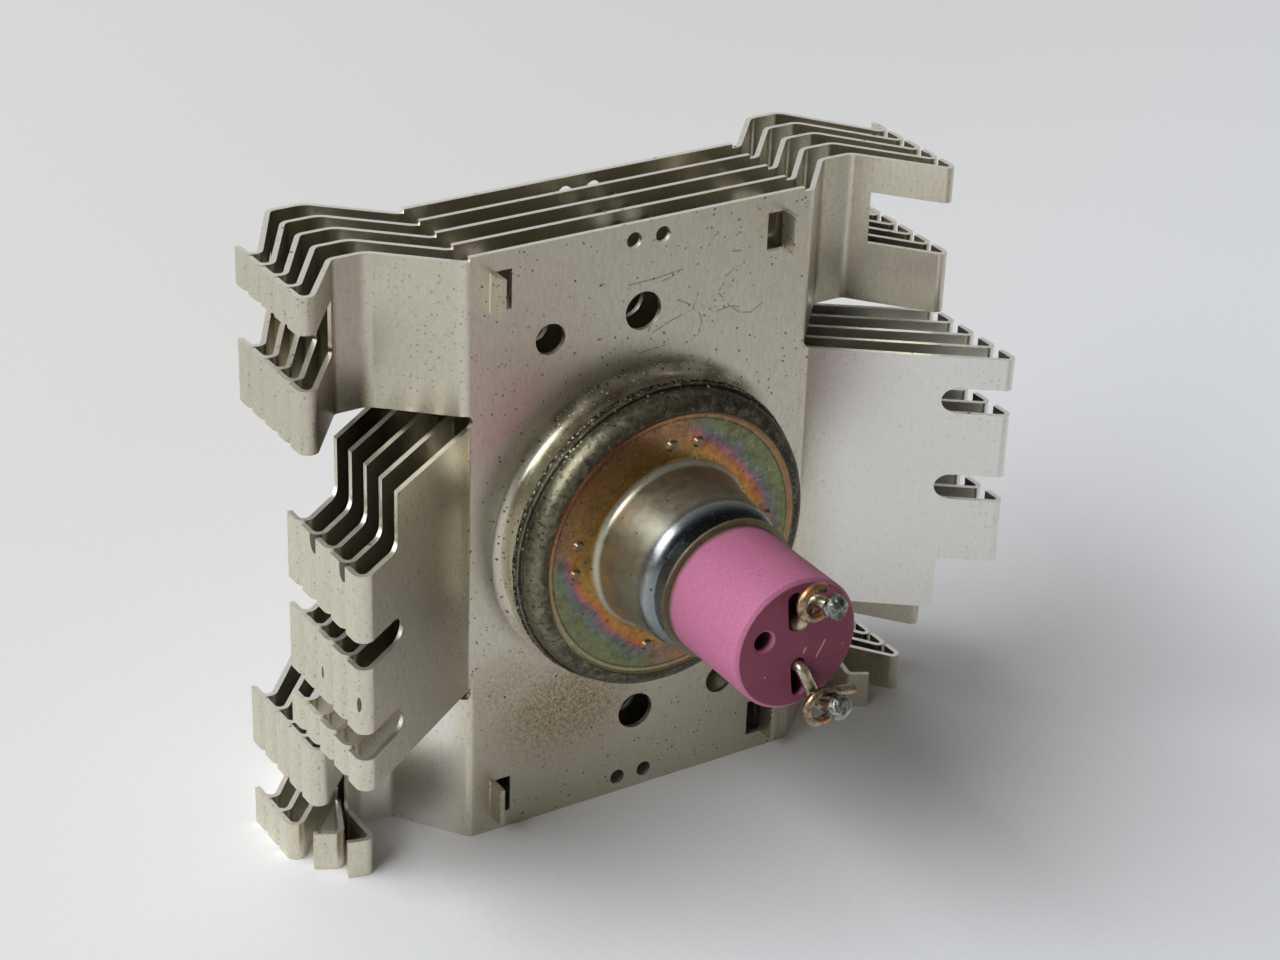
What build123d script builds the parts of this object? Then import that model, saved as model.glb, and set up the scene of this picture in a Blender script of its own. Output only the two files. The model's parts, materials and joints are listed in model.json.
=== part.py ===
from build123d import *
from math import asin, atan2, cos, hypot, radians, sin, sqrt, tan
import os

# Magnetron tube of a microwave oven with its stack of folded cooling fins, taken out of its yoke.
# X runs across the fins, Y along the tube from the cathode end (-Y) to the antenna end (+Y), Z up.
# The origin lies on the ground under the tube axis, at the middle of the stack. Millimetres.

# Fin stack
fin_count = 5
fin_pitch = 3.74
sheet = 0.6
panel_height = 73.6
wing_bend = 22.3  # from the tube axis to the fold of the middle wings
top_step = 0.5  # the wings' upper edges lie this far below the panel's
step_left, step_right = 0.1, 1.7  # the panel's taller part ends this far inside the fold
wing_root = 2.5  # flat part of a wing inside the fold

# Slots that part the middle wings from the corner wings
slot_level = 17.4
slot_height = 1.6
slot_depth = 0.5  # inside the fold

# Middle wings: straight, sloped towards the cathode end
middle_bend_radius = 1.0
finger_long = 8.0
finger_short = 3.9
finger_slot = 3.25
finger_slot_depth = 6.9
step_depth = 6.1
step_corner = 1.2

# Corner wings: a rise to the rear, a flat and a slope back to the front. Shift of the fold,
# widths of the rise and the flat, depth of the flat
steep_form = (0.3, 8.1, 4.2, 7.3)
steep_radii = (1.5, 2.6, 1.2)
square_form = (-0.6, 6.1, 4.2, 7.1)
square_radii = (1.0, 1.6, 1.6)
corner_finger = 4.3  # the short one, next to the panel's edge
notch_height = 6.4
notch_depth = 6.7

# Hooks at the ends of all fingers: how far their curls lie behind the panel, first fin, last fin
hook_x = 41.9
hook_lip = 2.6
curl_left = 0.9
curl_right = 0.6
middle_left_curls = (-12.7, -13.86)
middle_right_curls = (-13.9, -13.26)
steep_curls = (-0.3, -2.66)
square_curls = (-0.8, -2.86)
pushed_back = 1.4  # the front fin's lower left wing has been pushed to the rear
upper_right_inset = 1.6  # the upper right hooks have been pressed in, and to the front
upper_right_curls = (-1.8, -3.5)

# Lower fingers bent by hand, by side and fin: bend and tip as seen from the root, bend radius
bent_fingers = {
    (-1, 0): ((-0.1, -6.6), (-3.0, -5.9), 0.8),
    (-1, 1): ((-2.7, -6.6), (-5.6, -5.1), 0.9),
    (1, 0): ((-1.3, -5.4), (1.0, -6.6), 0.6),
}
bent_root_inset = 0.4
bent_root_radius = 0.7
bent_overlap = 0.8

# Holes in each panel: diameter, distance from the middle and from the panel's edge
large_hole, large_hole_x, large_hole_edge = 4.6, -0.37, 10.7
middle_hole, middle_hole_x, middle_hole_edge = 3.7, -12.2, 11.6
small_hole, small_hole_x, small_hole_edge = 1.9, 1.85, 2.0

# Lanced tabs and their windows
window_width, window_height = 2.8, 4.7
window_inset = 2.9  # inside the fold, of the lower windows
upper_window_insets = (2.4, 3.75)  # left and right
window_edge = 2.2  # from the panel's edge
tab_length = 2.4
tab_inset = 0.5
tab_bend_radius = 0.5

# Anode: a copper cylinder with vanes and straps
anode_radius = 17.4
anode_wall = 2.0
anode_overhang = 3.9  # past the front face of the first fin, and past the last fin
fit = 0.02  # radial clearance of pressed and brazed fits
collar_gap = 0.04  # between a collar's edge and the next fin
collar_fillet = 1.4
vane_count = 10
vane_thickness = 2.0
vane_tip_radius = 4.55
vane_height = 9.5
strap_inner_radius = 5.5
strap_outer_radius = 7.5
strap_width = 1.0
strap_thickness = 1.2
strap_recess = 0.1
strap_clearance = 0.35

# Pole pieces
pole_thickness = 1.2
pole_seat = 1.0  # how far its rim reaches into the anode wall
pole_hole = 4.9
pole_flat_radius = 7.4
pole_rim = 2.8  # width of the flat rim inside the bore
pole_lean = 0.4  # the funnel's outer side is this much narrower
pole_gap = 1.8  # from the vanes' edges
lead_passage = 2.2

# Cathode
filament_radius = 1.95
filament_wire = 0.5
filament_turns = 8
shield_radius = 3.6
shield_thickness = 0.8
shield_bore = 1.4
lead_radius = 0.75
lead_offset = 2.7
lead_jog_start, lead_jog_end = 1.32, 5.82  # from the anode's end
lead_bend_radius = 2.2

# Steel seals: rim, round shoulder, face, hub and neck, measured outwards from the anode's end
seal_wall = 0.8
rim_overhang = 1.3
rim_height = 0.7
rim_step = 0.4
shoulder_round = 1.9
face_level = 3.4
face_drop = 0.25
face_bevel = 0.4
hub_wall_gap = 1.35  # from the stem ceramic to the hub's upper edge
hub_taper = 0.7
hub_fillet = 1.0
hub_round = 2.0
hub_inner_bevel = 0.45
hub_level = 12.4
neck_length = 2.4
neck_wall = 0.35
neck_lip = 0.35
dimple_pairs = 4
dimple_circle = 12.65
dimple_radius = 0.7
dimple_height = 0.35
dimple_spread = 8.0
dimple_turn = -5.5
dimple_taper = 35.0

# Stem ceramic
stem_radius = 7.75
stem_length = 16.3
stem_seat = 2.9  # how deep it sits in the seal's neck
stem_chamfer = 0.45
stem_turn = 6.0  # the slots' line leans this far from the vertical
stem_slot_width = 1.9
stem_slot_depth = 2.6
stem_slot_margin = 2.15
blind_hole_radius = 1.15
blind_hole_depth = 2.2
blind_hole_circle = 4.5
blind_hole_angle = 161.0
blind_hole_bevel = 0.3
blind_hole_flare = 45.0

# Terminals in front of the ceramic: where each post bends and ends, as x, distance, height
terminal_radius = 0.7
terminal_bend_radius = 0.8
terminal_run = 0.6  # straight part in front of the face
upper_post_base = (0.35, 1.5, 6.35)
upper_post_tip = (1.5, 4.2, 6.35)
lower_post_base = (2.1, 1.6, -7.2)
lower_post_tip = (2.75, 4.4, -6.2)
loop_radius = 1.8
loop_wire = 1.1
loop_place = 0.35  # share of the post's length
loop_turn = 285.0
upper_loop_start = 55.0
lower_loop_start = 90.0
loop_tail = (2.4, -0.8)
solder_radius = 1.55
solder_length = 2.3
solder_round = 1.0

# Antenna end
antenna_ceramic_radius = 6.9
antenna_ceramic_wall = 1.5
antenna_ceramic_length = 11.4
antenna_ceramic_seat = 2.0
antenna_lead_radius = 0.95
antenna_lead_root = 10.4
antenna_lead_bend = 1.9
antenna_jog_start = 6.2  # from the vanes' edges
antenna_jog_end = 4.5  # before the hub's top
choke_radius = 5.2
choke_wall = 0.4
choke_length = 5.0
exhaust_flange = 0.8
exhaust_radius = 3.2
exhaust_wall = 0.8
exhaust_length = 8.0
pinch_length = 3.2
pinch_width = 8.4
pinch_thickness = 1.4
cap_wall = 0.5
cap_length = 18.0
cap_round = 2.6

# Worked out from the sizes above
axis_height = panel_height / 2
front_fin = -(fin_count - 1) / 2 * fin_pitch
anode_bore = anode_radius - anode_wall
pole_cone_radius = anode_bore - pole_rim
rim_radius = anode_radius + rim_overhang
shoulder_radius = rim_radius - rim_step
hub_top_radius = stem_radius + hub_wall_gap
hub_radius = hub_top_radius + hub_taper
anode_half = sheet / 2 - front_fin + anode_overhang
stem_inner = -(anode_half + hub_level + neck_length - stem_seat)
stem_face = stem_inner - stem_length
slot_floor = stem_face + stem_slot_depth
antenna_start = anode_half + hub_level + neck_length - antenna_ceramic_seat
exhaust_start = antenna_start + antenna_ceramic_length
notch_low = axis_height - top_step - corner_finger - notch_height
to_axis = Pos(0, 0, axis_height)
reach = 200.0  # longer than anything that a cut has to pass through


def save(shape, name):
    shape.label = name
    export_step(shape, os.path.join("parts", name + ".step"))


# Fins

def strip(points, radii, low, high):
    """Sheet folded along a plan path, between two heights above the tube axis."""
    profile = trace(FilletPolyline(*points, radius=list(radii)), sheet)
    return Pos(0, 0, low) * extrude(profile, high - low)


def curl(ends, fin):
    """Where a fin's hooks turn; their depth changes evenly from the first fin to the last."""
    first, last = ends
    return front_fin + fin * fin_pitch + first + (last - first) * fin / max(fin_count - 1, 1)


def hooked(side, run, lip_x, curl_y, curl_radius):
    """Plan path from the panel to the hook's lip: the last slope is tangent to the curl."""
    root_x, root_y = run[-1]
    centre_x, centre_y = lip_x - curl_radius, curl_y + curl_radius
    turn = asin(curl_radius / hypot(centre_x - root_x, centre_y - root_y))
    slope = atan2(centre_y - root_y, centre_x - root_x) - turn
    corner = (lip_x, root_y + tan(slope) * (lip_x - root_x))
    lip_end = (lip_x, curl_y + hook_lip)
    return [(side * x, y) for x, y in (*run, corner, lip_end)]


def middle_wing(side, fin, plane_y):
    curl_radius = curl_left if side < 0 else curl_right
    ends = middle_left_curls if side < 0 else middle_right_curls
    run = [(wing_bend - wing_root, plane_y), (wing_bend, plane_y)]
    path = hooked(side, run, hook_x, curl(ends, fin), curl_radius)
    wing = strip(path, (middle_bend_radius, curl_radius), -slot_level, slot_level)
    level = side * (slot_level - slot_height / 2 - finger_short - finger_slot / 2)
    for _ in range(2):
        slot = SlotOverall(reach, finger_slot)
        wing -= across(Pos(side * (hook_x - finger_slot_depth + reach / 2), level) * slot)
        level -= side * (finger_slot + finger_long)
    step_top = level + side * finger_slot / 2
    corner = RectangleRounded(reach, reach, step_corner)
    corner_x = side * (hook_x - step_depth + reach / 2)
    return wing - across(Pos(corner_x, step_top - side * reach / 2) * corner)


def across(face):
    """A cutter through the fin from a face drawn in X and height."""
    upright = Plane.XZ * face
    return extrude(upright, reach, both=True)


def corner_run(steep, plane_y, push):
    """Plan path of a corner wing up to its last slope, and its bend radii."""
    shift, rise, flat, depth = steep_form if steep else square_form
    bend = wing_bend + shift
    back = plane_y + depth + push
    run = [(wing_bend - wing_root, plane_y), (bend, plane_y)]
    run += [(bend + rise, back), (bend + rise + flat, back)]
    return run, steep_radii if steep else square_radii


def corner_wing(side, upper, fin, plane_y):
    """One of the four corner wings; the notch parts a long finger from a short one."""
    steep = (side < 0) == upper
    push = pushed_back if fin == 0 and side < 0 and not upper else 0
    run, radii = corner_run(steep, plane_y, push)
    curl_radius = curl_left if side < 0 else curl_right
    ends, lip_x = steep_curls if steep else square_curls, hook_x
    if upper and side > 0:
        ends, lip_x = upper_right_curls, hook_x - upper_right_inset
    path = hooked(side, run, lip_x, curl(ends, fin), curl_radius)
    low, high = (slot_level, axis_height - top_step) if upper else (-axis_height, -slot_level)
    wing = strip(path, (*radii, curl_radius), low, high)
    turn = 1 if upper else -1
    bent = None if upper else bent_finger(side, fin, run[-1], path[-2])
    cut_height = notch_height if bent is None else reach
    notch = Rectangle(reach, cut_height, align=(Align.CENTER, Align.MIN if upper else Align.MAX))
    wing -= across(Pos(side * (lip_x - notch_depth + reach / 2), turn * notch_low) * notch)
    if bent is not None:
        wing += strip(*bent, -axis_height, -notch_low - notch_height)
    return wing


def bent_finger(side, fin, flat_end, corner):
    """Plan path of a lower finger that has been bent by hand, or None for a straight one."""
    if (side, fin) not in bent_fingers:
        return None
    end, tip, curl_radius = bent_fingers[side, fin]
    slope = abs(corner[1] - flat_end[1]) / (abs(corner[0]) - flat_end[0])
    root_x = hook_x - notch_depth - bent_root_inset
    start_x = root_x - bent_overlap
    root_y, start_y = (flat_end[1] - slope * (x - flat_end[0]) for x in (root_x, start_x))
    points = [(side * start_x, start_y), (side * root_x, root_y)]
    points += [(side * root_x + dx, root_y + dy) for dx, dy in (end, tip)]
    return points, (bent_root_radius, curl_radius)


def collar(plane_y):
    """Collar drawn out of the panel towards the front, round the anode."""
    inner = anode_radius + fit
    outer = inner + sheet
    front, back = plane_y - sheet / 2, plane_y + sheet / 2
    root = outer + collar_fillet
    edge = front - fin_pitch + sheet + collar_gap
    inner_fillet = collar_fillet - sheet / 2
    with BuildSketch() as section:
        with BuildLine():
            Polyline((outer, front - collar_fillet), (outer, edge), (inner, edge),
                     (inner, back - inner_fillet))
            RadiusArc((inner, back - inner_fillet), (inner + inner_fillet, back), inner_fillet)
            Polyline((inner + inner_fillet, back), (root, back), (root, front))
            RadiusArc((root, front), (outer, front - collar_fillet), -collar_fillet)
        make_face()
    return to_axis * revolve(section.sketch, Axis.Y)


def fin_sheet(fin):
    plane_y = front_fin + fin * fin_pitch
    width = 2 * wing_bend - step_left - step_right
    body = Pos((step_left - step_right) / 2, plane_y, 0) * Box(width, sheet, panel_height)
    for side in (-1, 1):
        body += middle_wing(side, fin, plane_y)
        for upper in (True, False):
            body += corner_wing(side, upper, fin, plane_y)
            level = slot_level if upper else -slot_level
            slot = SlotOverall(reach, slot_height)
            body -= across(Pos(side * (wing_bend - slot_depth + reach / 2), level) * slot)
            body = lanced_tab(body, side, upper, plane_y)
    body -= across(panel_holes())
    body = to_axis * body
    return body + collar(plane_y)


def panel_holes():
    """All round holes of a panel, the same when it is turned upside down."""
    holes = Circle(anode_radius + fit + sheet + collar_fillet)
    for diameter, x, edge in (
        (large_hole, large_hole_x, large_hole_edge),
        (middle_hole, middle_hole_x, middle_hole_edge),
        (small_hole, small_hole_x, small_hole_edge),
        (small_hole, -small_hole_x, small_hole_edge),
    ):
        for turn in (-1, 1):
            holes += Pos(turn * x, turn * (axis_height - edge)) * Circle(diameter / 2)
    return holes


def lanced_tab(body, side, upper, plane_y):
    """Window cut near a corner, its tab bent forward along the outer edge."""
    turn = 1 if upper else -1
    outer = wing_bend - (upper_window_insets[side > 0] if upper else window_inset)
    window_z = turn * (axis_height - window_edge - window_height / 2)
    window = Rectangle(window_width, window_height)
    body -= across(Pos(side * (outer - window_width / 2), window_z) * window)
    tab_x = outer - tab_inset
    path = [(outer + sheet, plane_y), (tab_x, plane_y), (tab_x, plane_y - tab_length - sheet / 2)]
    path = [(side * x, y) for x, y in path]
    low = window_z - window_height / 2
    return body + strip(path, (tab_bend_radius,), low, low + window_height)


# Anode

def disc(radius, start, end):
    """A round solid on the tube axis, between two places along it."""
    solid = extrude(Plane.XZ * Circle(radius), abs(end - start))
    return Pos(0, max(start, end), axis_height) * solid


def ring(outer, inner, start, end):
    return disc(outer, start, end) - disc(inner, start, end)


def anode_cylinder():
    body = ring(anode_radius, anode_bore, -anode_half, anode_half)
    for end in (-1, 1):
        body -= disc(anode_bore + pole_seat, end * (anode_half - pole_thickness), end * anode_half)
    return body


def strap(radius, end):
    edge = vane_height / 2 - strap_recess
    outer = radius + strap_width / 2
    return ring(outer, outer - strap_width, end * (edge - strap_thickness), end * edge)


def strap_groove(radius, end, clearance):
    """Groove for a strap in a vane's edge: the strap seats in it, or passes clear of it."""
    half = strap_width / 2 + clearance
    floor = vane_height / 2 - strap_recess - strap_thickness - clearance
    return ring(radius + half, radius - half, end * floor, end * vane_height)


def vane(index):
    length = anode_bore - vane_tip_radius
    plate = Pos(vane_tip_radius + length / 2, 0, 0) * Box(length, vane_height, vane_thickness)
    body = to_axis * Rot(0, index * 360 / vane_count - 90, 0) * plate
    body &= disc(anode_bore - fit, -vane_height, vane_height)
    for end in (-1, 1):
        touches_inner = (index + (end > 0)) % 2 == 0
        body -= strap_groove(strap_inner_radius, end, 0 if touches_inner else strap_clearance)
        body -= strap_groove(strap_outer_radius, end, strap_clearance if touches_inner else 0)
    return body


def pole_piece(end):
    """Funnel pressed from steel plate, seated in the anode's end."""
    rim = anode_bore + pole_seat - fit
    flat = vane_height / 2 + pole_gap
    lift = pole_thickness
    with BuildSketch() as section:
        with BuildLine():
            Polyline((rim, anode_half), (rim, anode_half - lift), (pole_cone_radius, anode_half - lift),
                     (pole_flat_radius, flat), (pole_hole, flat), (pole_hole, flat + lift),
                     (pole_flat_radius - pole_lean, flat + lift),
                     (pole_cone_radius - pole_lean, anode_half),
                     close=True)
        make_face()
    body = to_axis * revolve(section.sketch, Axis.Y)
    if end < 0:
        return mirror(body, Plane.XZ)
    passage = extrude(Plane.XZ * Pos(0, antenna_lead_root) * Circle(lead_passage), -anode_half)
    return body - to_axis * passage


# Cathode

def rod(points, radius, bend_radius):
    """Round rod bent along a path of straight runs."""
    path = FilletPolyline(*points, radius=bend_radius)
    section = Plane(origin=path @ 0, z_dir=path % 0) * Circle(radius)
    return sweep(section, path=path)


def turned(distance, angle):
    """X and height of a point on a circle round the axis, the angle taken from +X towards +Z."""
    return distance * cos(radians(angle)), distance * sin(radians(angle))


def filament():
    """Helix whose ends rest on the two shields."""
    rise = vane_height - filament_wire
    path = Helix(rise / filament_turns, rise, filament_radius, direction=(0, 1, 0))
    section = Plane(origin=path @ 0, z_dir=path % 0) * Circle(filament_wire / 2)
    return Pos(0, -rise / 2, axis_height) * sweep(section, path=path, is_frenet=True)


def end_shield(end, bore):
    return ring(shield_radius, bore, end * vane_height / 2, end * (vane_height / 2 + shield_thickness))


def centre_lead():
    """From the rear shield through the filament, then bent over to its hole in the stem."""
    x, z = turned(lead_offset, 90 + stem_turn)
    points = [(0, vane_height / 2 + shield_thickness, 0), (0, -anode_half - lead_jog_start, 0),
              (x, -anode_half - lead_jog_end, z), (x, slot_floor, z)]
    return to_axis * rod(points, lead_radius, lead_bend_radius)


def side_lead():
    x, z = turned(lead_offset, stem_turn - 90)
    start = -(vane_height / 2 + shield_thickness)
    return to_axis * Pos(x, start, z) * extrude(Plane.XZ * Circle(lead_radius), start - slot_floor)


# Cathode end

def seal(end, neck_radius):
    """Steel shell on one end of the anode, with a neck that holds a ceramic."""
    face = face_level - face_drop
    flat_edge = shoulder_radius - shoulder_round
    top = hub_level
    neck_outer = neck_radius + neck_wall
    neck_end = top + neck_length
    hub_foot = face + hub_fillet
    hub_step = hub_top_radius - neck_outer
    shoulder = top - sqrt(2 * hub_round * hub_step - hub_step ** 2)
    with BuildSketch() as section:
        with BuildLine():
            Polyline((flat_edge, 0), (rim_radius, 0), (rim_radius, rim_height),
                     (shoulder_radius, rim_height + rim_step),
                     (shoulder_radius, face_level - shoulder_round))
            RadiusArc((shoulder_radius, face_level - shoulder_round), (flat_edge, face_level),
                      -shoulder_round)
            Polyline((flat_edge, face_level), (flat_edge - face_bevel, face),
                     (hub_radius + hub_fillet, face))
            RadiusArc((hub_radius + hub_fillet, face), (hub_radius, hub_foot), hub_fillet)
            Line((hub_radius, hub_foot), (hub_top_radius, shoulder))
            RadiusArc((hub_top_radius, shoulder), (neck_outer, top), -hub_round)
            Polyline((neck_outer, top), (neck_outer, neck_end - 2 * neck_lip),
                     (neck_outer + neck_lip, neck_end - neck_lip), (neck_outer + neck_lip, neck_end),
                     (neck_radius, neck_end), (neck_radius, top - seal_wall),
                     (hub_top_radius - seal_wall - hub_inner_bevel, top - seal_wall),
                     (hub_top_radius - seal_wall, top - seal_wall - hub_inner_bevel),
                     (hub_radius - seal_wall, face - seal_wall),
                     (flat_edge, face - seal_wall), (flat_edge, 0))
        make_face()
    shell = revolve(section.sketch, Axis.Y)
    shell = Pos(0, anode_half, axis_height) * shell
    return shell if end > 0 else mirror(shell, Plane.XZ)


def front_seal():
    """The cathode end's seal, with pairs of small dimples pressed out of its face."""
    body = seal(-1, stem_radius + fit)
    foot = -(anode_half + face_level - face_drop)
    dimple = extrude(Plane.XZ * Circle(dimple_radius), dimple_height, taper=dimple_taper)
    for pair in range(dimple_pairs):
        for spread in (-dimple_spread, dimple_spread):
            x, z = turned(dimple_circle, dimple_turn + 360 / dimple_pairs * pair + spread)
            body += Pos(x, foot, axis_height + z) * dimple
    return body


def stem_ceramic():
    """Alumina rod with two leads through it, open slots for the terminals and a blind hole."""
    blank = extrude(Plane.XZ * Circle(stem_radius), stem_length)
    blank = chamfer(blank.edges().sort_by(Axis.Y)[0], stem_chamfer)
    slot_end = stem_radius - stem_slot_margin
    slot_length = slot_end - lead_offset + stem_slot_width
    slot_middle = (lead_offset + slot_end) / 2
    for angle in (90 + stem_turn, stem_turn - 90):
        x, z = turned(lead_offset, angle)
        blank -= extrude(Plane.XZ * Pos(x, z) * Circle(lead_radius + fit), stem_length)
        x, z = turned(slot_middle, angle)
        slot = Pos(x, z) * Rot(0, 0, angle) * SlotOverall(slot_length, stem_slot_width)
        blank -= Pos(0, stem_slot_depth - stem_length, 0) * extrude(Plane.XZ * slot, stem_slot_depth)
    x, z = turned(blind_hole_circle, blind_hole_angle)
    mouth = Plane.XZ * Pos(x, z) * Circle(blind_hole_radius)
    for depth, flare in ((blind_hole_depth, 0), (blind_hole_bevel, blind_hole_flare)):
        blank -= Pos(0, depth - stem_length, 0) * extrude(mouth, depth, taper=-flare)
    return Pos(0, stem_inner, axis_height) * blank


def in_front(point):
    """A point given as x, distance in front of the stem's face and height above the axis."""
    x, distance, z = point
    return (x, stem_face - distance, z)


def terminal(angle, post_base, post_tip):
    """Rod that starts on the lead's end in the slot, turns outwards and ends in a post."""
    x, z = turned(lead_offset, angle)
    points = [(x, slot_floor, z), in_front((x, terminal_run, z)), in_front(post_base), in_front(post_tip)]
    return to_axis * rod(points, terminal_radius, terminal_bend_radius)


def wire_loop(post_base, post_tip, turn_start, tail, post):
    """The last turn of a copper wire, hooked round the post and touching it on one side."""
    base, tip = Vector(*in_front(post_base)), Vector(*in_front(post_tip))
    shift = loop_radius - loop_wire / 2 - terminal_radius
    centre = base + (tip - base) * loop_place - Vector(shift, 0, 0)
    with BuildLine(Plane.XZ) as path:
        turn = CenterArc((0, 0), loop_radius, turn_start, loop_turn)
        if tail:
            Line(turn @ 0, (loop_radius + tail[0], loop_radius + tail[1]))
    wire = path.wire()
    section = Plane(origin=wire @ 0, z_dir=wire % 0) * Circle(loop_wire / 2)
    loop = sweep(section, path=wire, transition=Transition.ROUND)
    return to_axis * Pos(centre) * loop - post


def solder_end(post_base, post_tip, post, loop):
    """Lump of solder round the cut tip of the post."""
    base, tip = Vector(*in_front(post_base)), Vector(*in_front(post_tip))
    along = Plane(origin=tip, z_dir=tip - base).location
    lump = Cylinder(solder_radius, solder_length)
    lump = fillet(lump.edges().filter_by(GeomType.CIRCLE), solder_round)
    return to_axis * along * lump - post - loop


# Antenna end

def antenna_lead():
    """From a vane's edge through the pole piece, bent over to the axis and out to the pinch."""
    root = vane_height / 2
    pinch = exhaust_start + exhaust_flange + exhaust_length
    points = [(0, root, antenna_lead_root), (0, root + antenna_jog_start, antenna_lead_root),
              (0, anode_half + hub_level - antenna_jog_end, 0), (0, pinch, 0)]
    return to_axis * rod(points, antenna_lead_radius, antenna_lead_bend)


def antenna_ceramic():
    bore = antenna_ceramic_radius - antenna_ceramic_wall
    return ring(antenna_ceramic_radius, bore, antenna_start, exhaust_start)


def choke_sleeve():
    """Steel sleeve inside the hub, its flange brazed under the hub's top."""
    top = anode_half + hub_level - seal_wall
    body = ring(choke_radius, choke_radius - choke_wall, top - choke_length, top)
    return body + ring(hub_top_radius - 2 * seal_wall, choke_radius - choke_wall, top - choke_wall, top)


def exhaust_tube():
    """Copper tube with a flange on the ceramic, its end pinched flat and solid."""
    tube_start = exhaust_start + exhaust_flange
    tube_end = tube_start + exhaust_length
    bore = exhaust_radius - exhaust_wall
    body = ring(antenna_ceramic_radius, bore, exhaust_start, tube_start)
    body += ring(exhaust_radius, bore, tube_start, tube_end)
    mouth = Plane.XZ.offset(-tube_end) * Circle(exhaust_radius)
    flat = Plane.XZ.offset(-tube_end - pinch_length) * SlotOverall(pinch_width, pinch_thickness)
    return body + to_axis * loft([mouth, flat])


def antenna_cap():
    """Drawn thimble, its open end pressed over the exhaust tube's flange."""
    inner = antenna_ceramic_radius + fit
    outer = inner + cap_wall
    end = exhaust_start + cap_length
    body = disc(outer, exhaust_start, end)
    body = fillet(body.edges().sort_by(Axis.Y)[-1], cap_round)
    hollow = disc(inner, exhaust_start, end - cap_wall)
    hollow = fillet(hollow.edges().sort_by(Axis.Y)[-1], cap_round - cap_wall)
    return body - hollow


os.makedirs("parts", exist_ok=True)
for index in range(fin_count):
    save(fin_sheet(index), f"fin_{index + 1}")
save(anode_cylinder(), "anode_cylinder")
for index in range(vane_count):
    save(vane(index), f"vane_{index + 1:02d}")
for name, radius in (("inner", strap_inner_radius), ("outer", strap_outer_radius)):
    save(strap(radius, -1), f"front_{name}_strap")
    save(strap(radius, 1), f"rear_{name}_strap")
save(pole_piece(-1), "front_pole_piece")
save(pole_piece(1), "rear_pole_piece")
save(filament(), "filament")
save(end_shield(-1, shield_bore), "front_end_shield")
save(end_shield(1, lead_radius + fit), "rear_end_shield")
save(centre_lead(), "centre_lead")
save(side_lead(), "side_lead")
save(front_seal(), "front_seal")
save(stem_ceramic(), "stem_ceramic")
for name, angle, base, tip, turn_start, tail in (
    ("upper", 90 + stem_turn, upper_post_base, upper_post_tip, upper_loop_start, None),
    ("lower", stem_turn - 90, lower_post_base, lower_post_tip, lower_loop_start, loop_tail),
):
    post = terminal(angle, base, tip)
    loop = wire_loop(base, tip, turn_start, tail, post)
    save(post, f"{name}_terminal")
    save(loop, f"{name}_wire_loop")
    save(solder_end(base, tip, post, loop), f"{name}_solder_end")
save(seal(1, antenna_ceramic_radius + fit), "rear_seal")
save(antenna_ceramic(), "antenna_ceramic")
save(antenna_lead(), "antenna_lead")
save(choke_sleeve(), "choke_sleeve")
save(exhaust_tube(), "exhaust_tube")
save(antenna_cap(), "antenna_cap")
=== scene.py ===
import json
import math
from functools import reduce

import bmesh
import bpy
from mathutils import Matrix, Vector, noise


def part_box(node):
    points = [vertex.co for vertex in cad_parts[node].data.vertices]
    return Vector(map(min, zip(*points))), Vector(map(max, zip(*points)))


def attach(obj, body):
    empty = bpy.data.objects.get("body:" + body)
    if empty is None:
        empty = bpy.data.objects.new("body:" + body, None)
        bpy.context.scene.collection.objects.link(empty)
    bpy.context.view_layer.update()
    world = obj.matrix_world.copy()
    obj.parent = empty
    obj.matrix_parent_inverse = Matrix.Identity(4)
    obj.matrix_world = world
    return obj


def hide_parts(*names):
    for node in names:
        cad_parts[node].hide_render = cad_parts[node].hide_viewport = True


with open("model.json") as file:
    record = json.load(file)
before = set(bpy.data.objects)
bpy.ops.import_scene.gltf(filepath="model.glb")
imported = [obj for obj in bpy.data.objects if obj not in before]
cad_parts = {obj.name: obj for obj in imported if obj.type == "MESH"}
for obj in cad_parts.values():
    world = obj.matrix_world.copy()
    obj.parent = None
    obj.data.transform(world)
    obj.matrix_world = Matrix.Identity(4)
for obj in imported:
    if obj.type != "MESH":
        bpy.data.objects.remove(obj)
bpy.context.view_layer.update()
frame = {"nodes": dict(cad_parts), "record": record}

MM = 0.001

# Places on the part in metres, from the frame
MOUNTS = {mount["name"]: mount["pos_m"] for mount in frame["record"]["mounts"]}
AXIS = MOUNTS["antenna_cap"][2]
FRONT_PLANE = MOUNTS["large_fin_holes"][1]
SEAL_FACE = MOUNTS["rear_magnet_seat"][1]
STEM_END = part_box("stem_ceramic")[0].y
ANODE_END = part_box("anode_cylinder")[1].y
RIM_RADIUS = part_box("front_seal")[1].x

# Places that the frame doesn't name, in metres
WING_FOLD = 22.3 * MM  # from the middle to the folds at the panel's sides
WING_SLOT = 17.2 * MM  # from the axis up or down to the slots beside the middle wings
COLLAR_FOOT = 19.4 * MM  # radius at which the collar runs out into the panel
FACE_OUTER = 16.3 * MM  # radius at which a seal's face ends and its shoulder starts
FACE_INNER = 10.6 * MM  # radius at which the hub rises from the face
RIM_GROOVE = 12.62 * MM  # along the axis, the groove between a seal's rim and its shoulder
HUB_BEND = 21.4 * MM  # along the axis, where the hub starts to turn in to the neck
NECK_LIP = 25.95 * MM  # along the axis, the neck's lip
END_RADIUS = 7.30 * MM  # of the stem ceramic's end face, inside its bevel

# Numbers behind the looks
ROUGHENING = 2600  # scale per metre of the noise that makes round marks irregular
SPECK_COLOUR = (0.05, 0.04, 0.025)
TEMPER_LOBES = (36, -141)  # middles of the face's rainbow lobes, degrees round the tube axis

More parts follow.
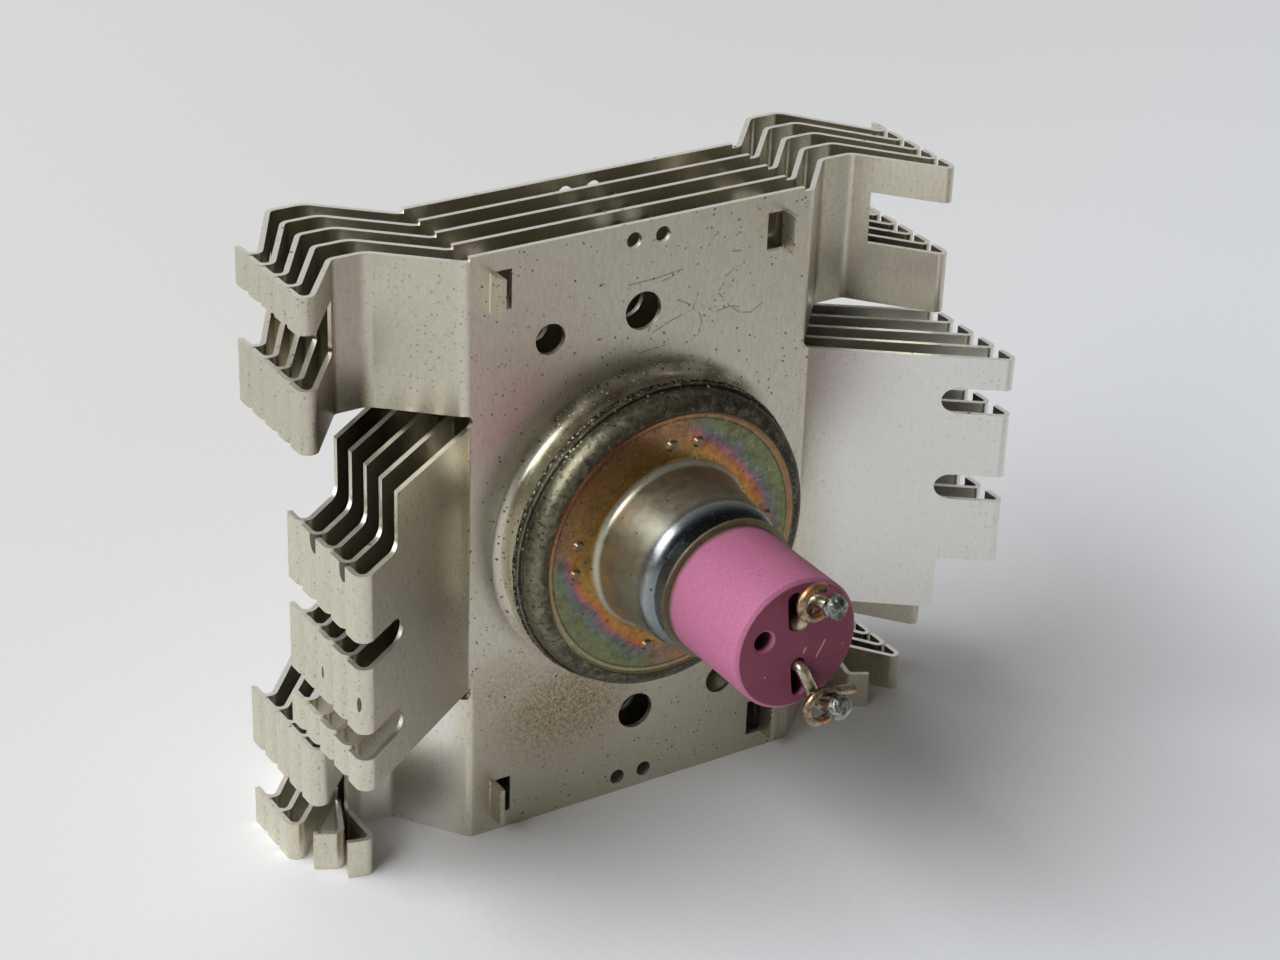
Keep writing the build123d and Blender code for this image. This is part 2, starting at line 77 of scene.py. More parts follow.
# Camera and lamps
PHOTO_WIDTH_PX = 1280
SENSOR_WIDTH = 36  # millimetres
LAMP_DISTANCE = 2.4
BACKDROP_SHARE = 0.22  # share of the backdrop in what shiny surfaces mirror, the rest is the room


# Camera, from the photograph

def photo_camera(focal_px, place, yaw, pitch, roll):
    """Camera at a place in metres, with its angles in degrees and its focal length in pixels."""
    yaw, pitch, roll = (math.radians(a) for a in (yaw, pitch, roll))
    ahead = Vector((math.sin(yaw) * math.cos(pitch), math.cos(yaw) * math.cos(pitch), -math.sin(pitch)))
    right = Vector((math.cos(yaw), -math.sin(yaw), 0))
    up = right.cross(ahead)
    right, up = (math.cos(roll) * right + math.sin(roll) * up,
                 math.cos(roll) * up - math.sin(roll) * right)
    data = bpy.data.cameras.new("camera")
    data.sensor_width = SENSOR_WIDTH
    data.lens = focal_px * SENSOR_WIDTH / PHOTO_WIDTH_PX
    data.clip_start, data.clip_end = 0.01, 20
    camera = bpy.data.objects.new("camera", data)
    turn = Matrix((right, up, -ahead)).transposed().to_4x4()
    camera.matrix_world = Matrix.Translation(place) @ turn
    bpy.context.scene.collection.objects.link(camera)
    bpy.context.scene.camera = camera


# Shader nodes

class Graph:
    """Short ways to add nodes to a tree. A value is a number, a tuple or another node's output."""

    def __init__(self, tree):
        self.tree = tree

    def add(self, kind, values=None, **settings):
        node = self.tree.nodes.new(kind)
        for key, value in settings.items():
            setattr(node, key, value)
        for key, value in (values or {}).items():
            self.feed(node.inputs[key], value)
        return node

    def feed(self, socket, value):
        if isinstance(value, bpy.types.NodeSocket):
            self.tree.links.new(value, socket)
        elif socket.type == "RGBA":
            socket.default_value = (*value[:3], 1)
        else:
            socket.default_value = value

    def calc(self, operation, *values, clamp=False):
        inputs = dict(enumerate(values))
        return self.add("ShaderNodeMath", inputs, operation=operation, use_clamp=clamp).outputs[0]

    def times(self, *values):
        return reduce(lambda a, b: self.calc("MULTIPLY", a, b), values)

    def most(self, *values):
        return reduce(lambda a, b: self.calc("MAXIMUM", a, b), values)

    def vector(self, operation, *values):
        node = self.add("ShaderNodeVectorMath", dict(enumerate(values)), operation=operation)
        return node.outputs["Value" if operation in ("LENGTH", "DOT_PRODUCT", "DISTANCE") else "Vector"]

    def mix(self, factor, a, b):
        """Colour a where the factor is 0, colour b where it is 1."""
        return self.add("ShaderNodeMix", {0: factor, 6: a, 7: b}, data_type="RGBA").outputs[2]

    def step(self, value, low, high, start=0.0, end=1.0):
        """Smooth change from start to end while the value goes from low to high."""
        values = {"Value": value, "From Min": low, "From Max": high, "To Min": start, "To Max": end}
        return self.add("ShaderNodeMapRange", values, interpolation_type="SMOOTHSTEP").outputs[0]

    def fall(self, value, low, high):
        """Smooth change from 1 to 0 while the value goes from low to high."""
        return self.step(value, low, high, 1.0, 0.0)

    def band(self, value, middle, inner, outer):
        """1 where the value is within inner of the middle, 0 where it is more than outer away."""
        return self.fall(self.calc("ABSOLUTE", self.calc("SUBTRACT", value, middle)), inner, outer)


class MaterialGraph(Graph):
    """The nodes of one material. Places are in metres, as on the part, and noise scales per metre."""

    def __init__(self, name):
        self.material = bpy.data.materials.new(name)
        self.material.use_nodes = True
        super().__init__(self.material.node_tree)
        self.shader = self.tree.nodes["Principled BSDF"]
        self.place = self.add("ShaderNodeTexCoord").outputs["Object"]

    def split(self, vector=None):
        return self.add("ShaderNodeSeparateXYZ", {0: vector or self.place}).outputs

    def from_axis(self):
        """Distance from the tube axis and the angle round it, with the place along it."""
        x, y, z = self.split()
        height = self.calc("SUBTRACT", z, AXIS)
        radius = self.calc("SQRT", self.calc("ADD", self.times(x, x), self.times(height, height)))
        return radius, self.calc("ARCTAN2", height, x), y

    def scaled(self, x, y, z, turn=(0, 0, 0)):
        """The place, stretched along the axes and turned."""
        values = {"Vector": self.place, "Scale": (x, y, z), "Rotation": turn}
        return self.add("ShaderNodeMapping", values).outputs[0]

    def ragged(self, amount):
        """The place, shifted to and fro, so that round marks come out irregular."""
        values = {"Vector": self.place, "Scale": ROUGHENING, "Detail": 2.0}
        shift = self.add("ShaderNodeTexNoise", values).outputs["Color"]
        shift = self.vector("MULTIPLY_ADD", shift, (amount,) * 3, (-amount / 2,) * 3)
        return self.vector("ADD", self.place, shift)

    def noise(self, scale, detail=3.0, rough=0.5, vector=None, bend=0.0):
        values = {"Vector": vector or self.place, "Scale": scale, "Detail": detail, "Roughness": rough,
                  "Distortion": bend}
        return self.add("ShaderNodeTexNoise", values).outputs["Fac"]

    def swing(self, value, amount):
        """A noise made to go up and down round 0, by half the amount."""
        return self.times(self.calc("SUBTRACT", value, 0.5), amount)

    def dots(self, scale, radius, share, vector):
        """Round specks of up to that radius, in cell sizes, in a share of all cells."""
        cells = self.add("ShaderNodeTexVoronoi", {"Vector": vector, "Scale": scale})
        random = self.add("ShaderNodeSeparateColor", {0: cells.outputs["Color"]}).outputs
        spot = self.calc("LESS_THAN", cells.outputs["Distance"], self.times(random[1], radius))
        return self.times(spot, self.calc("LESS_THAN", random[0], share))

    def line(self, points, width):
        """1 along a line through some points, 0 beside it."""
        gaps = []
        for start, end in zip(points, points[1:]):
            start, run = Vector(start), Vector(end) - Vector(start)
            offset = self.vector("SUBTRACT", self.place, start)
            share = self.vector("DOT_PRODUCT", offset, run / run.length_squared)
            share = self.calc("ADD", share, 0.0, clamp=True)
            along = self.add("ShaderNodeVectorMath", {0: run, "Scale": share}, operation="SCALE")
            gaps.append(self.vector("DISTANCE", offset, along.outputs["Vector"]))
        nearest = reduce(lambda a, b: self.calc("MINIMUM", a, b), gaps)
        return self.fall(nearest, width * 0.3, width)

    def blob(self, centre, size, softness):
        """1 inside an ellipsoid whose half axes are given in millimetres, 0 outside it."""
        offset = self.vector("SUBTRACT", self.place, centre)
        length = self.vector("LENGTH", self.vector("DIVIDE", offset, [side * MM for side in size]))
        return self.fall(length, 1 - softness, 1 + softness)

    def ramp(self, factor, stops):
        """Colours along the factor, from 0 to 1."""
        node = self.add("ShaderNodeValToRGB", {0: factor})
        bar = node.color_ramp.elements
        while len(bar) < len(stops):
            bar.new(0.5)
        for element, (place, colour) in zip(bar, stops):
            element.position = place
            element.color = (*colour, 1)
        return node.outputs[0]

    def bump(self, height, distance, strength, normal=None):
        values = {"Height": height, "Distance": distance, "Strength": strength}
        if normal is not None:
            values["Normal"] = normal
        return self.add("ShaderNodeBump", values).outputs[0]

    def shade(self, **values):
        """Feeds the shader's sockets; an underscore stands for a space in their names."""
        for key, value in values.items():
            self.feed(self.shader.inputs[key.replace("_", " ")], value)

    def finish(self, colour, rough, normal, **values):
        self.shade(Base_Color=colour, Roughness=rough, Normal=normal, **values)
        return self.material


# Fin sheet

def sheet_base(name):
    """Satin sheet with pits and specks; gives its nodes, colour, roughness, marks and grain."""
    g = MaterialGraph(name)
    cloudy = g.noise(48, 4, 0.6)
    grain = g.noise(1, 4, 0.65, g.scaled(3400, 3400, 1100))
    colour = g.mix(cloudy, (0.66, 0.62, 0.50), (0.78, 0.745, 0.62))
    colour = g.mix(g.step(grain, 0.3, 0.72, 0.0, 0.30), colour, (0.43, 0.39, 0.29))
    place = g.ragged(0.22 * MM)
    crowd = g.step(g.noise(40, 2), 0.35, 0.65, 0.4, 0.85)
    specks = g.times(g.dots(430, 0.10, 0.7, place), 0.9)
    fine = g.times(g.dots(1900, 0.36, 0.8, place), crowd)
    return g, colour, g.step(cloudy, 0.2, 0.8, 0.27, 0.36), g.most(specks, fine), grain


def sheet_finish(g, colour, rough, marks, grain, waves=0.5):
    """Dark marks sunk into the sheet's grain, on faint waves."""
    colour = g.mix(g.times(marks, 0.84), colour, SPECK_COLOUR)
    rough = g.calc("ADD", rough, g.times(marks, 0.22))
    height = g.calc("SUBTRACT", g.times(grain, 0.4), marks)
    wavy = g.bump(g.noise(38, 2), 0.25 * MM, waves)
    return g.finish(colour, rough, g.bump(height, 0.02 * MM, 0.6, wavy), Metallic=1.0)


def fin_aluminium():
    """The fins' sheet, brighter on two wings by painted light, darker at the top of the left wings by
    painted shade, with short dark dashes on the left hooks.
    """
    g, colour, rough, marks, grain = sheet_base("fin_aluminium")
    x, _, z = g.split()
    middle_wings = g.band(z, AXIS, WING_SLOT - 0.2 * MM, WING_SLOT + 0.8 * MM)
    left_side = g.fall(x, -24 * MM, -22 * MM)
    # Painted light: the right middle wing and the lower left wing are made lighter.
    painted_light_lower_left = g.times(left_side, g.step(x, -34 * MM, -31 * MM), g.fall(z, 17 * MM, 18.5 * MM))
    bright = g.most(g.times(g.step(x, 22.5 * MM, 27 * MM), middle_wings), painted_light_lower_left)
    colour = g.mix(g.times(bright, 0.6), colour, (0.90, 0.90, 0.88))
    # Painted shade: the tops of the left wings are darkened.
    painted_shade_upper_left = g.times(left_side, g.step(z, 53 * MM, 56 * MM, 0.0, 0.35))
    colour = g.mix(painted_shade_upper_left, colour, (0.43, 0.40, 0.31))
    marks = g.times(marks, g.step(x, -24 * MM, 24 * MM, 0.5, 0.2))
    left_hooks = g.times(g.fall(x, -40.9 * MM, -40.6 * MM), middle_wings)
    dashes = g.dots(1, 0.30, 0.55, g.scaled(300, 300, 110, (0.05, 0.0, 0.0)))
    return sheet_finish(g, colour, rough, g.most(marks, g.times(dashes, left_hooks)), grain)


def cut_edge():
    """Sheared edge of the sheet: bright and finely torn."""
    g = MaterialGraph("fin_cut_edge")
    tear = g.noise(1, 3, 0.6, g.scaled(2500, 9000, 2500))
    colour = g.mix(tear, (0.80, 0.78, 0.71), (0.95, 0.93, 0.88))
    colour = g.mix(g.step(g.noise(500, 3, 0.7), 0.55, 0.75, 0.0, 0.5), colour, (0.50, 0.46, 0.36))
    nicks = g.dots(900, 0.26, 0.25, g.ragged(0.2 * MM))
    colour = g.mix(g.times(nicks, 0.7), colour, (0.12, 0.10, 0.07))
    return g.finish(colour, g.step(tear, 0.3, 0.7, 0.34, 0.5), g.bump(tear, 0.04 * MM, 0.7), Metallic=1.0)


# Front fin

# Scratches on the panel, each a line through places given as x and height in millimetres
PANEL_SCRATCHES = (
    ((-2.4, 66.4), (1.0, 66.5), (4.5, 66.9)), ((7.9, 69.0), (8.4, 70.0), (9.1, 70.3)),
    ((1.9, 66.0), (3.4, 66.3)), ((0.7, 59.9), (3.2, 60.9), (6.3, 61.8)), ((6.1, 61.7), (6.8, 63.6)),
    ((4.0, 63.3), (6.0, 62.3)), ((7.0, 61.2), (7.4, 60.0), (6.9, 58.3)), ((-1.0, 57.8), (2.6, 58.1)),
    ((9.5, 63.0), (11.2, 61.0), (12.5, 60.0)), ((12.5, 60.0), (14.0, 59.7), (15.6, 60.6)),
    ((9.6, 63.3), (10.2, 64.2)), ((10.3, 64.9), (11.4, 65.5)), ((11.5, 69.6), (13.0, 69.9)),
    ((9.4, 60.8), (11.3, 61.1), (12.3, 60.7)), ((11.0, 67.8), (12.3, 67.6)),
)

# Two families of fine hairlines: turn about the tube axis in radians, spacing in millimetres
HAIRLINES = ((0.62, 1.3), (-0.5, 2.1))


def on_panel(x, height):
    """Place on the front fin's panel, from its x and height in millimetres."""
    return x * MM, FRONT_PLANE, height * MM


def rubbed_line(g, x, z):
    """Where something pink has rubbed on the panel, left of the collar."""
    rise = g.times(g.calc("ADD", x, 21 * MM), 0.30)
    apart = g.calc("SUBTRACT", g.calc("SUBTRACT", z, 51.2 * MM), rise)
    apart = g.calc("ADD", apart, g.swing(g.noise(60, 3), 3 * MM))
    rubbed = g.fall(g.calc("ABSOLUTE", apart), 0.0, 1.1 * MM)
    return g.times(rubbed, g.blob(on_panel(-15, 53), (8, 3, 5), 0.4))


def heat_stain(g, z, radius):
    """Grainy brown stain below the collar and round its foot."""
    below = g.blob(on_panel(-9.5, 14.2), (8.5, 3, 5.5), 0.7)
    left = g.times(g.blob(on_panel(-17, 19), (6, 3, 4), 0.7), 0.5)
    halo = g.fall(radius, COLLAR_FOOT - 0.4 * MM, COLLAR_FOOT + 1.6 * MM)
    halo = g.times(halo, g.step(z, 10 * MM, 50 * MM, 0.5, 0.0))
    return g.times(g.most(below, g.most(left, halo)), g.step(g.noise(2800, 4, 0.8), 0.38, 0.62, 0.2, 1.0))


def panel_hairs(g, panel):
    """Broken hairlines, mostly above the collar on the right, and the panel's scratches."""
    hairs = 0.0
    for index, (turn, spacing) in enumerate(HAIRLINES):
        values = {"Vector": g.place, "Axis": (0, 1, 0), "Angle": turn}
        turned = g.add("ShaderNodeVectorRotate", values).outputs[0]
        across = g.calc("ADD", g.split(turned)[2], g.times(g.noise(55 + 9 * index, 1), 4.5 * MM))
        share = g.calc("FRACT", g.calc("DIVIDE", across, spacing * MM))
        thin = g.band(share, 0.5, 0.0, 0.035 / spacing)
        pieces = g.noise(1, 1, 0.5, g.vector("MULTIPLY", turned, (190, 300, 1100)))
        hairs = g.most(hairs, g.times(thin, g.step(pieces, 0.62, 0.68)))
    worn = g.times(g.blob(on_panel(13, 65), (11, 2, 9), 0.4), panel)
    hairs = g.times(hairs, g.calc("MULTIPLY_ADD", worn, 0.6, 0.10))
    for points in PANEL_SCRATCHES:
        scratch = g.line([on_panel(*point) for point in points], 0.11 * MM)
        hairs = g.most(hairs, g.times(scratch, 0.65))
    return g.times(hairs, g.step(g.noise(900, 2), 0.36, 0.5))


def fin_front():
    """The front fin's panel and collar: a rubbed pink line, heat stains, scratches, a streaked collar."""
    g, colour, rough, marks, grain = sheet_base("fin_front")
    x, y, z = g.split()
    radius = g.from_axis()[0]
    collar = g.times(g.fall(radius, COLLAR_FOOT - 1.1 * MM, COLLAR_FOOT - 0.1 * MM),
                     g.fall(y, FRONT_PLANE - 0.62 * MM, FRONT_PLANE - 0.12 * MM))
    panel = g.calc("SUBTRACT", 1.0, collar)

    colour = g.mix(g.times(rubbed_line(g, x, z), panel, 0.10), colour, (0.78, 0.36, 0.34))
    stain = g.times(heat_stain(g, z, radius), panel)
    colour = g.mix(g.times(stain, 0.85), colour, (0.28, 0.165, 0.03))
    # The panel darker towards its foot.
    lower_darkening = g.times(g.step(z, 2 * MM, 26 * MM, 0.42, 0.0), panel)
    colour = g.mix(lower_darkening, colour, (0.34, 0.31, 0.22))
    dust = g.dots(1900, 0.30, 0.7, g.ragged(0.22 * MM))
    marks = g.most(marks, g.times(dust, g.most(stain, 0.12)))
    colour = g.mix(g.times(panel_hairs(g, panel), 0.84), colour, SPECK_COLOUR)

    streaks = g.noise(1, 4, 0.6, g.vector("MULTIPLY", g.place, (500, 9000, 500)))
    streaks = g.times(collar, g.step(streaks, 0.35, 0.7, 0.0, 0.35))
    colour = g.mix(streaks, colour, (0.42, 0.39, 0.30))
    collar_top = g.times(g.fall(radius, COLLAR_FOOT - 0.5 * MM, COLLAR_FOOT + 1.2 * MM),
                         g.step(z, AXIS + 5 * MM, AXIS + 16 * MM))
    # The collar's top darker, in mottled patches.
    darkened = g.step(g.noise(300, 3), 0.35, 0.6, 0.35, 0.85)
    colour = g.mix(g.times(collar_top, darkened), colour, (0.17, 0.15, 0.09))
    # Light specks on the collar's top: partly light dust, partly painted glints.
    grit = g.dots(2600, 0.40, 0.6, g.ragged(0.22 * MM))
    colour = g.mix(g.times(grit, collar_top), colour, (0.75, 0.70, 0.52))

    rough = g.calc("MULTIPLY_ADD", stain, 0.22, g.calc("ADD", rough, 0.05))
    rough = g.calc("MULTIPLY_ADD", g.calc("SUBTRACT", collar, collar_top), -0.15, rough)
    coat = g.times(collar, g.calc("MULTIPLY_ADD", collar_top, -0.8, 1.0))
    g.shade(Coat_Weight=coat, Coat_Roughness=0.04)
    return sheet_finish(g, colour, rough, marks, grain, g.calc("MULTIPLY_ADD", collar, -0.35, 0.5))


# Seals

class SealGraph(MaterialGraph):
    """The nodes of the seal shell, with the values that its parts share."""

    def __init__(self, name):
        super().__init__(name)
        self.radius, self.angle, y = self.from_axis()
        self.along = self.calc("ABSOLUTE", y)
        self.mottle = self.noise(700, 5, 0.75)
        self.patches = self.noise(170, 4, 0.65)
        turns = [self.calc("SUBTRACT", self.angle, math.radians(lobe)) for lobe in TEMPER_LOBES]
        self.lobes = [self.calc("COSINE", turn) for turn in turns]


def temper_colours(g):
    """Rainbow of heat colours in two lobes of the face, brown between them."""
    away = g.calc("SUBTRACT", 1.0, g.most(*g.lobes))
    ragged = g.calc("ADD", g.swing(g.noise(280, 4, 0.65), 2.6 * MM), g.swing(g.mottle, 1.5 * MM))
    start = g.calc("MULTIPLY_ADD", away, 6.5 * MM, 11.8 * MM)
    depth = g.calc("SUBTRACT", g.calc("ADD", g.radius, ragged), start)
    rainbow = g.ramp(g.calc("MULTIPLY_ADD", depth, 1 / (6.5 * MM), 0.31), (
        (0.0, (0.38, 0.24, 0.075)), (0.15, (0.48, 0.23, 0.06)), (0.25, (0.50, 0.185, 0.065)),
        (0.31, (0.44, 0.165, 0.15)), (0.37, (0.26, 0.16, 0.20)), (0.44, (0.18, 0.19, 0.19)),
        (0.54, (0.18, 0.215, 0.13)), (0.72, (0.21, 0.23, 0.10)), (0.95, (0.22, 0.205, 0.14))))
    brown = g.mix(g.patches, (0.41, 0.215, 0.055), (0.37, 0.225, 0.15))
    brown = g.mix(g.step(g.noise(90, 3), 0.5, 0.7, 0.0, 0.5), brown, (0.20, 0.19, 0.14))
    at_hub = g.step(g.radius, FACE_INNER + 0.2 * MM, FACE_INNER + 3.0 * MM, 0.8, 0.0)
    brown = g.mix(at_hub, brown, (0.38, 0.22, 0.055))
    browned = g.step(g.calc("ADD", away, g.swing(g.patches, 0.35)), 0.20, 0.42)
    return g.mix(browned, rainbow, brown)


def seal_face(g):
    """Flat ring with temper colours, dirt, rust at its outer edge and dark dimples."""
    face = temper_colours(g)
    face = g.mix(g.step(g.mottle, 0.42, 0.72, 0.0, 0.6), face, (0.07, 0.06, 0.035))
    face = g.mix(g.step(g.noise(1500, 3, 0.7), 0.55, 0.75, 0.0, 0.45), face, (0.40, 0.36, 0.24))
    rust = g.mix(g.step(g.calc("SINE", g.angle), -0.6, 0.0), (0.42, 0.35, 0.20), (0.38, 0.19, 0.09))
    for inset, half_width, tint, share in ((0.30, 0.42, rust, 0.75),
                                           (0.80, 0.13, (0.05, 0.045, 0.03), 0.6),
                                           (-0.12, 0.16, (0.03, 0.025, 0.02), 0.7)):
        ring = g.band(g.radius, FACE_OUTER - inset * MM, half_width * 0.5 * MM, half_width * MM)
        face = g.mix(g.times(ring, g.step(g.patches, 0.3, 0.6, share * 0.5, share)), face, tint)
    dimples = g.times(g.step(g.along, SEAL_FACE + 0.05 * MM, SEAL_FACE + 0.15 * MM),
                      g.fall(g.radius, 13.6 * MM, 14.0 * MM))
    return g.mix(g.times(dimples, 0.85), face, (0.21, 0.19, 0.14))


def seal_shoulder(g):
    """Dark round shoulder outside the face, gritty, black beside the face and in the rim's groove."""
    shoulder = g.mix(g.patches, (0.14, 0.132, 0.09), (0.25, 0.235, 0.16))
    beside_face = g.step(g.radius, FACE_OUTER + 0.3 * MM, FACE_OUTER + 1.5 * MM, 0.7, 0.0)
    shoulder = g.mix(beside_face, shoulder, (0.03, 0.03, 0.02))
    upper_right = g.step(g.lobes[0], 0.3, 0.95)
    shoulder = g.mix(g.times(upper_right, 0.75), shoulder, (0.022, 0.022, 0.018))
    shoulder = g.mix(g.step(g.mottle, 0.45, 0.75, 0.0, 0.75), shoulder, (0.38, 0.36, 0.25))
    grit = g.step(g.noise(1700, 3, 0.7), 0.48, 0.66, 0.0, 0.75)
    shoulder = g.mix(grit, shoulder, (0.045, 0.044, 0.028))
    groove = g.band(g.along, RIM_GROOVE, 0.06 * MM, 0.2 * MM)
    return g.mix(g.times(groove, 0.9), shoulder, (0.015, 0.014, 0.012))


def seal_hub(g, lip):
    """Satin hub that turns grey above its bend, with a blued neck and a duller lip."""
    brushed = g.noise(1, 4, 0.65, g.scaled(1400, 500, 1400))
    hub = g.mix(brushed, (0.42, 0.42, 0.32), (0.57, 0.565, 0.44))
    hub = g.mix(g.step(g.noise(420, 3, 0.7), 0.5, 0.7, 0.0, 0.3), hub, (0.22, 0.21, 0.14))
    hub = g.mix(g.step(g.along, HUB_BEND, HUB_BEND + 1.4 * MM), hub, (0.34, 0.36, 0.37))
    blued = g.mix(g.noise(160), (0.02, 0.022, 0.028), (0.05, 0.065, 0.09))
    blued = g.mix(g.step(g.lobes[1], -0.1, 0.8), blued, (0.25, 0.28, 0.29))
    hub = g.mix(g.step(g.along, HUB_BEND + 1.7 * MM, HUB_BEND + 2.6 * MM), hub, blued)
    return g.mix(lip, hub, g.mix(g.mottle, (0.14, 0.14, 0.08), (0.33, 0.33, 0.21)))


def seal_steel():
    """Pressed steel shell: temper colours on its face, a dark shoulder, a satin hub with a blued neck."""
    g = SealGraph("seal_steel")
    lip = g.step(g.along, NECK_LIP, NECK_LIP + 0.17 * MM)
    on_hub = g.fall(g.radius, FACE_INNER - 0.45 * MM, FACE_INNER)
    colour = g.mix(g.step(g.radius, FACE_OUTER, FACE_OUTER + 0.25 * MM), seal_face(g), seal_shoulder(g))
    colour = g.mix(on_hub, colour, seal_hub(g, lip))

    place = g.ragged(0.2 * MM)
    pits = g.most(g.dots(1300, 0.22, 0.35, place), g.dots(500, 0.09, 0.4, place))
    colour = g.mix(g.times(pits, 0.7), colour, (0.03, 0.025, 0.02))
    upper = g.step(g.calc("SINE", g.angle), -0.1, 0.7)
    glints = g.times(g.dots(1900, 0.40, 0.6, place), g.step(g.along, 12.0 * MM, 14.0 * MM, 1.0, 0.15))
    glints = g.times(glints, g.calc("MULTIPLY_ADD", upper, 0.75, 0.2))
    colour = g.mix(glints, colour, (0.70, 0.66, 0.50))

    on_shoulder = g.step(g.radius, FACE_OUTER, FACE_OUTER + 0.5 * MM)
    satin = g.times(on_hub, g.step(g.along, HUB_BEND, HUB_BEND + 1.2 * MM, 0.6, 0.0))
    duller = g.most(g.times(lip, 2.0), satin, g.most(pits, on_shoulder))
    rough = g.calc("MULTIPLY_ADD", duller, 0.14, g.step(g.mottle, 0.2, 0.8, 0.22, 0.36))
    normal = g.bump(g.calc("SUBTRACT", g.times(g.mottle, 0.6), pits), 0.03 * MM, 0.6)
    return g.finish(colour, rough, normal, Metallic=1.0)


def braze():
    """Grainy bead of brazing metal, black between its grains."""
    g = MaterialGraph("braze_bead")
    grain = g.noise(2600, 3, 0.75)
    colour = g.mix(g.step(grain, 0.46, 0.66), (0.022, 0.02, 0.015), (0.50, 0.47, 0.35))
    return g.finish(colour, g.step(grain, 0.3, 0.7, 0.5, 0.28), g.bump(grain, 0.1 * MM, 1.0), Metallic=1.0)


# Copper, leads and solder

def copper():
    """Dull copper with brown oxide, blackened where it shows beside the seals."""
    g = MaterialGraph("copper")
    patch = g.noise(300, 4, 0.65)
    colour = g.mix(g.step(patch, 0.35, 0.65), (0.22, 0.11, 0.06), (0.56, 0.28, 0.16))
    radius, _, y = g.from_axis()
    darkened = g.step(g.calc("ABSOLUTE", y), 10.3 * MM, 10.9 * MM)
    darkened = g.times(darkened, g.step(radius, 17.0 * MM, 17.3 * MM))
    colour = g.mix(darkened, colour, (0.03, 0.026, 0.02))
    rough = g.step(patch, 0.3, 0.7, 0.45, 0.28)
    normal = g.bump(g.noise(2400, 3, 0.6), 0.02 * MM, 0.6)
    return g.finish(colour, rough, normal, Metallic=1.0)


def loop_copper():
    """Wire end: brown tarnished copper, bare and bright in a few places."""
    g = MaterialGraph("loop_copper")
    patch = g.noise(900, 4, 0.65)
    colour = g.mix(g.step(patch, 0.34, 0.62), (0.13, 0.09, 0.05), (0.44, 0.34, 0.22))
    colour = g.mix(g.step(g.noise(520, 2), 0.55, 0.68, 0.0, 0.85), colour, (0.62, 0.26, 0.12))
    colour = g.mix(g.step(g.noise(1900, 3, 0.7), 0.58, 0.72, 0.0, 0.8), colour, (0.05, 0.035, 0.025))
    rough = g.step(patch, 0.3, 0.7, 0.40, 0.22)
    return g.finish(colour, rough, g.bump(patch, 0.07 * MM, 0.8), Metallic=1.0)


def lead_metal():
    """Pins drawn lengthwise, pale tan with a darker skin."""
    g = MaterialGraph("lead_metal")
    patch = g.noise(700, 4, 0.65)
    colour = g.mix(g.step(patch, 0.3, 0.65), (0.31, 0.26, 0.17), (0.62, 0.55, 0.42))
    colour = g.mix(g.step(g.noise(1900, 3, 0.7), 0.58, 0.75, 0.0, 0.7), colour, (0.09, 0.07, 0.045))
    rough = g.step(patch, 0.3, 0.7, 0.42, 0.26)
    return g.finish(colour, rough, g.bump(patch, 0.03 * MM, 0.6), Metallic=1.0)


def solder():
    """Wrinkled solder, bright on its crests and nearly black between them."""
    g = MaterialGraph("solder")
    patch = g.noise(1000, 4, 0.7, bend=0.6)
    colour = g.mix(g.step(patch, 0.36, 0.62), (0.045, 0.05, 0.042), (0.46, 0.48, 0.43))
    colour = g.mix(g.step(g.noise(500, 2), 0.45, 0.7, 0.0, 0.6), colour, (0.09, 0.095, 0.075))
    rough = g.step(patch, 0.3, 0.7, 0.44, 0.24)
    return g.finish(colour, rough, g.bump(patch, 0.09 * MM, 0.8), Metallic=1.0)


def plain_steel():
    """Drawn steel with faint rings and small stains."""
    g = MaterialGraph("plain_steel")
    lines = g.noise(1, 3, 0.6, g.scaled(300, 4000, 300))
    colour = g.mix(lines, (0.46, 0.45, 0.40), (0.64, 0.63, 0.58))
    colour = g.mix(g.step(g.noise(140, 4, 0.7), 0.5, 0.8, 0.0, 0.6), colour, (0.22, 0.19, 0.12))
    stains = g.dots(900, 0.13, 0.4, g.ragged(0.2 * MM))
    colour = g.mix(g.times(stains, 0.7), colour, (0.06, 0.05, 0.03))
    rough = g.step(lines, 0.3, 0.7, 0.22, 0.34)
    return g.finish(colour, rough, g.bump(lines, 0.01 * MM, 0.6), Metallic=1.0)


# Ceramic

# Scratches on the stem's end face, each a line through places given as x and height above the
# tube axis in millimetres
CERAMIC_SCRATCHES = (
    ((2.6, -2.2), (3.3, -1.0)), ((3.3, -1.0), (3.6, -0.4)), ((-0.7, 4.6), (-0.2, 5.1)),
    ((-4.4, 0.4), (-4.0, 0.9)), ((0.9, -1.2), (1.1, -0.7)),
)


